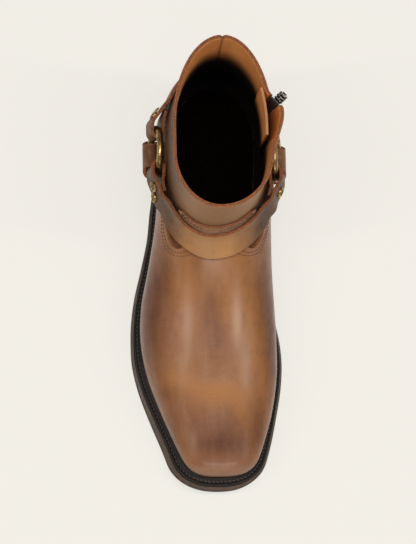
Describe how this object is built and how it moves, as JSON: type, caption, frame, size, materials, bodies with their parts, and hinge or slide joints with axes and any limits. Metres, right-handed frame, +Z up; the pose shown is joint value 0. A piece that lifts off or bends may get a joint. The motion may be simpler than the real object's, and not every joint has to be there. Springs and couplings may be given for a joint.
{
  "type": "harness boot",
  "caption": "Square-toed leather ankle boot with a stacked heel, harness straps joined by brass rings and a zip up its inner side.",
  "frame": {"origin": "centre of the heel's flat underside, on the floor", "axes": "+Y to the toe, +X to the outer side of the foot, +Z up"},
  "size_m": [0.1139, 0.3066, 0.195],
  "materials": {
    "vamp_leather": "waxed pull-up leather, satin",
    "shaft_leather": "waxed pull-up leather, satin",
    "strap_leather": "waxed leather with raw cut edges",
    "lining_leather": "smooth tan lining leather",
    "insole": "matt",
    "welt": "dark stained, stitched",
    "outsole": "dark waxed edge",
    "heel_stack": "stacked lifts, dark waxed",
    "heel_rubber": "matt",
    "brass": "aged, satin",
    "zip_metal": "dark antique",
    "zip_tape": "woven tape"
  },
  "bodies": {
    "boot": {"outsole": "outsole", "heel_block": "heel_stack", "heel_top_piece": "heel_rubber", "welt": "welt", "insole": "insole", "upper": "shaft_leather", "vamp": "vamp_leather", "front_strap": "strap_leather", "back_strap": "strap_leather", "bottom_strap_lateral": "strap_leather", "bottom_strap_medial": "strap_leather", "rivet_lateral_front_1": "brass", "rivet_lateral_front_2": "brass", "rivet_medial_front": "brass", "rivet_lateral_back_1": "brass", "rivet_lateral_back_2": "brass", "zip_tape": "zip_tape", "zip_chain": "zip_metal", "zip_slider": "zip_metal", "zip_guard": "lining_leather"},
    "outer_ring": {"ring_lateral": "brass"},
    "inner_ring": {"ring_medial": "brass"},
    "pull_tab": {"zip_pull": "zip_metal"}
  },
  "joints": [
    {"name": "outer_ring_spin", "type": "hinge", "parent": "boot", "child": "outer_ring", "pos_m": [0.0448, 0.027, 0.084], "axis": [0.9833, 0, 0.1822], "continuous": true},
    {"name": "inner_ring_spin", "type": "hinge", "parent": "boot", "child": "inner_ring", "pos_m": [-0.0428, 0.031, 0.084], "axis": [-0.9833, 0, 0.1822], "continuous": true},
    {"name": "pull_tab_swing", "type": "hinge", "parent": "boot", "child": "pull_tab", "pos_m": [-0.03885, 0.01309, 0.18887], "axis": [-0.6853, 0.7215, -0.0991], "range_deg": [0, 150]}
  ]
}
